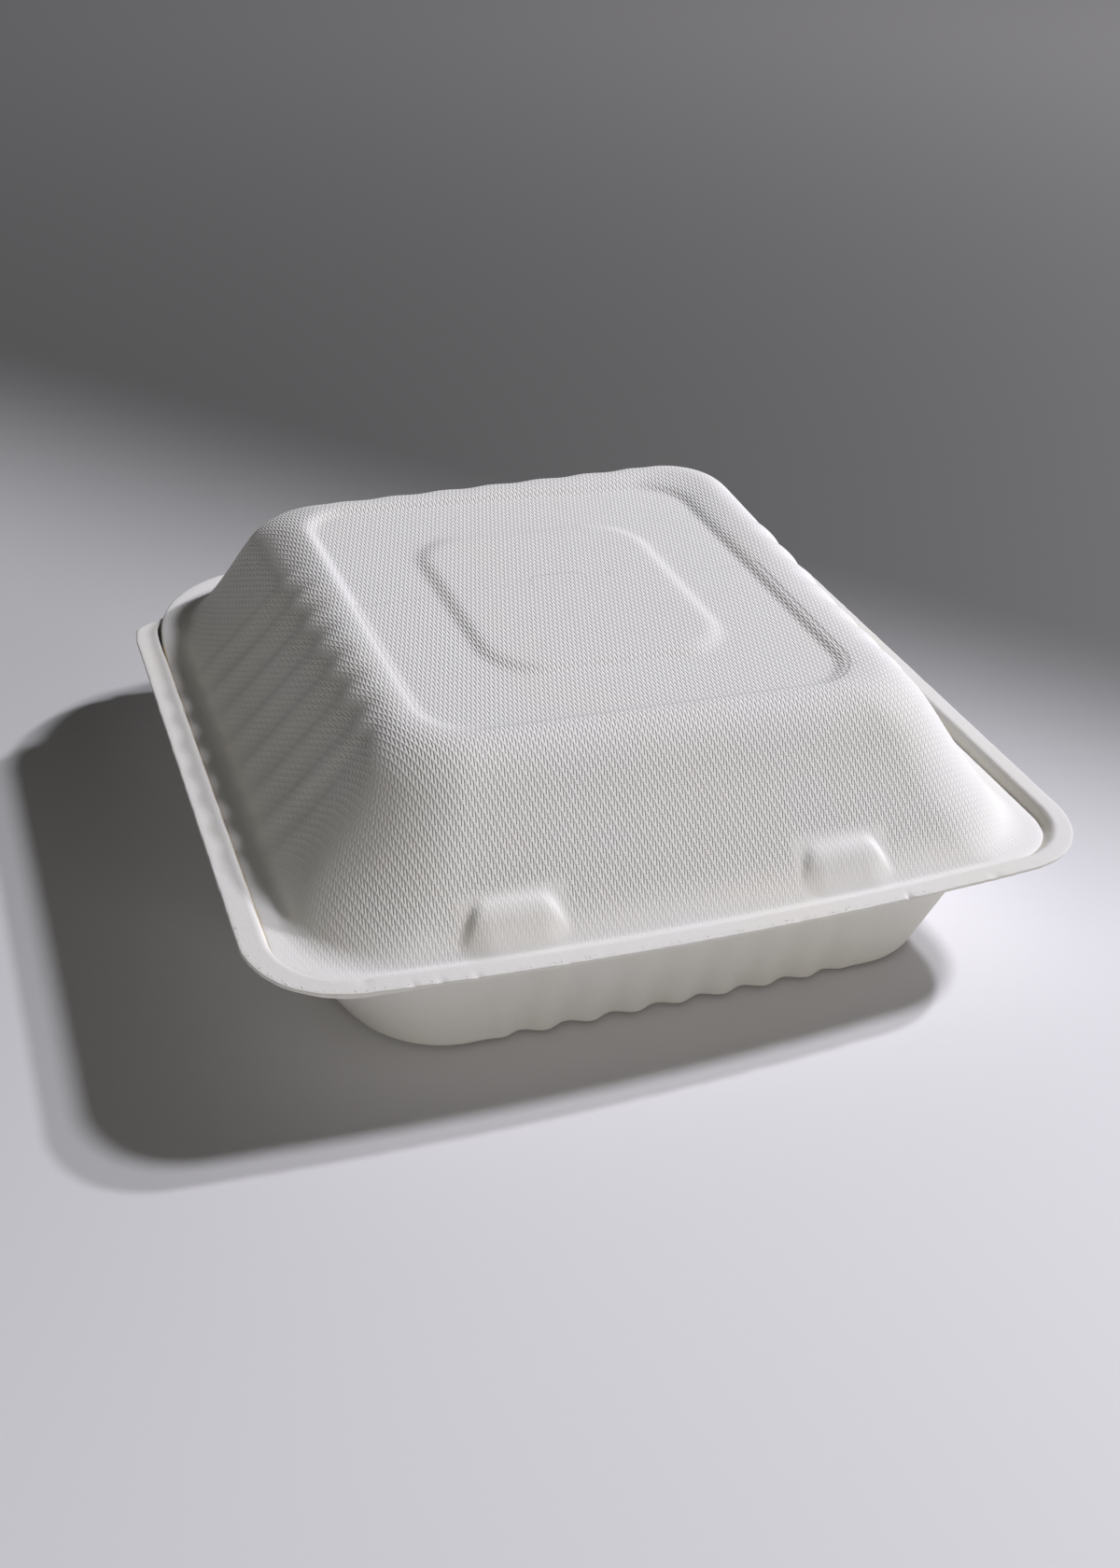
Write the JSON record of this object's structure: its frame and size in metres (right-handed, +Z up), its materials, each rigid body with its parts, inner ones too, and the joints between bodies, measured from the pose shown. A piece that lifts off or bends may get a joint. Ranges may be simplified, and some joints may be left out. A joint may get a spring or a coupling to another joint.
{
  "type": "clamshell container",
  "caption": "Hinged moulded-fibre clamshell with a domed fluted lid, a recessed lid panel, latch lugs and a divided tray for a takeaway meal.",
  "frame": {"origin": "centre of the footprint on the table: the middle of the width at the rim, half way from the front edge to the folded back edge, at the foot", "axes": "+Z up, -Y towards the front edge with the latch lugs, +X to the right for someone facing the front"},
  "size_m": [0.2366, 0.2106, 0.0723],
  "materials": {
    "base_fibre": "smooth matt moulded fibre",
    "lid_fibre": "matt moulded fibre with a fine woven imprint",
    "fold_fibre": "creased matt moulded fibre"
  },
  "bodies": {
    "base": {"base_tray": "base_fibre", "hinge_fold": "fold_fibre"},
    "lid": {"lid": "lid_fibre"}
  },
  "joints": [
    {"name": "lid_hinge", "type": "hinge", "parent": "base", "child": "lid", "pos_m": [0, 0.1038, 0.0369], "axis": [-1, 0, 0], "range_deg": [0, 180], "deforming": ["hinge_fold"]}
  ]
}
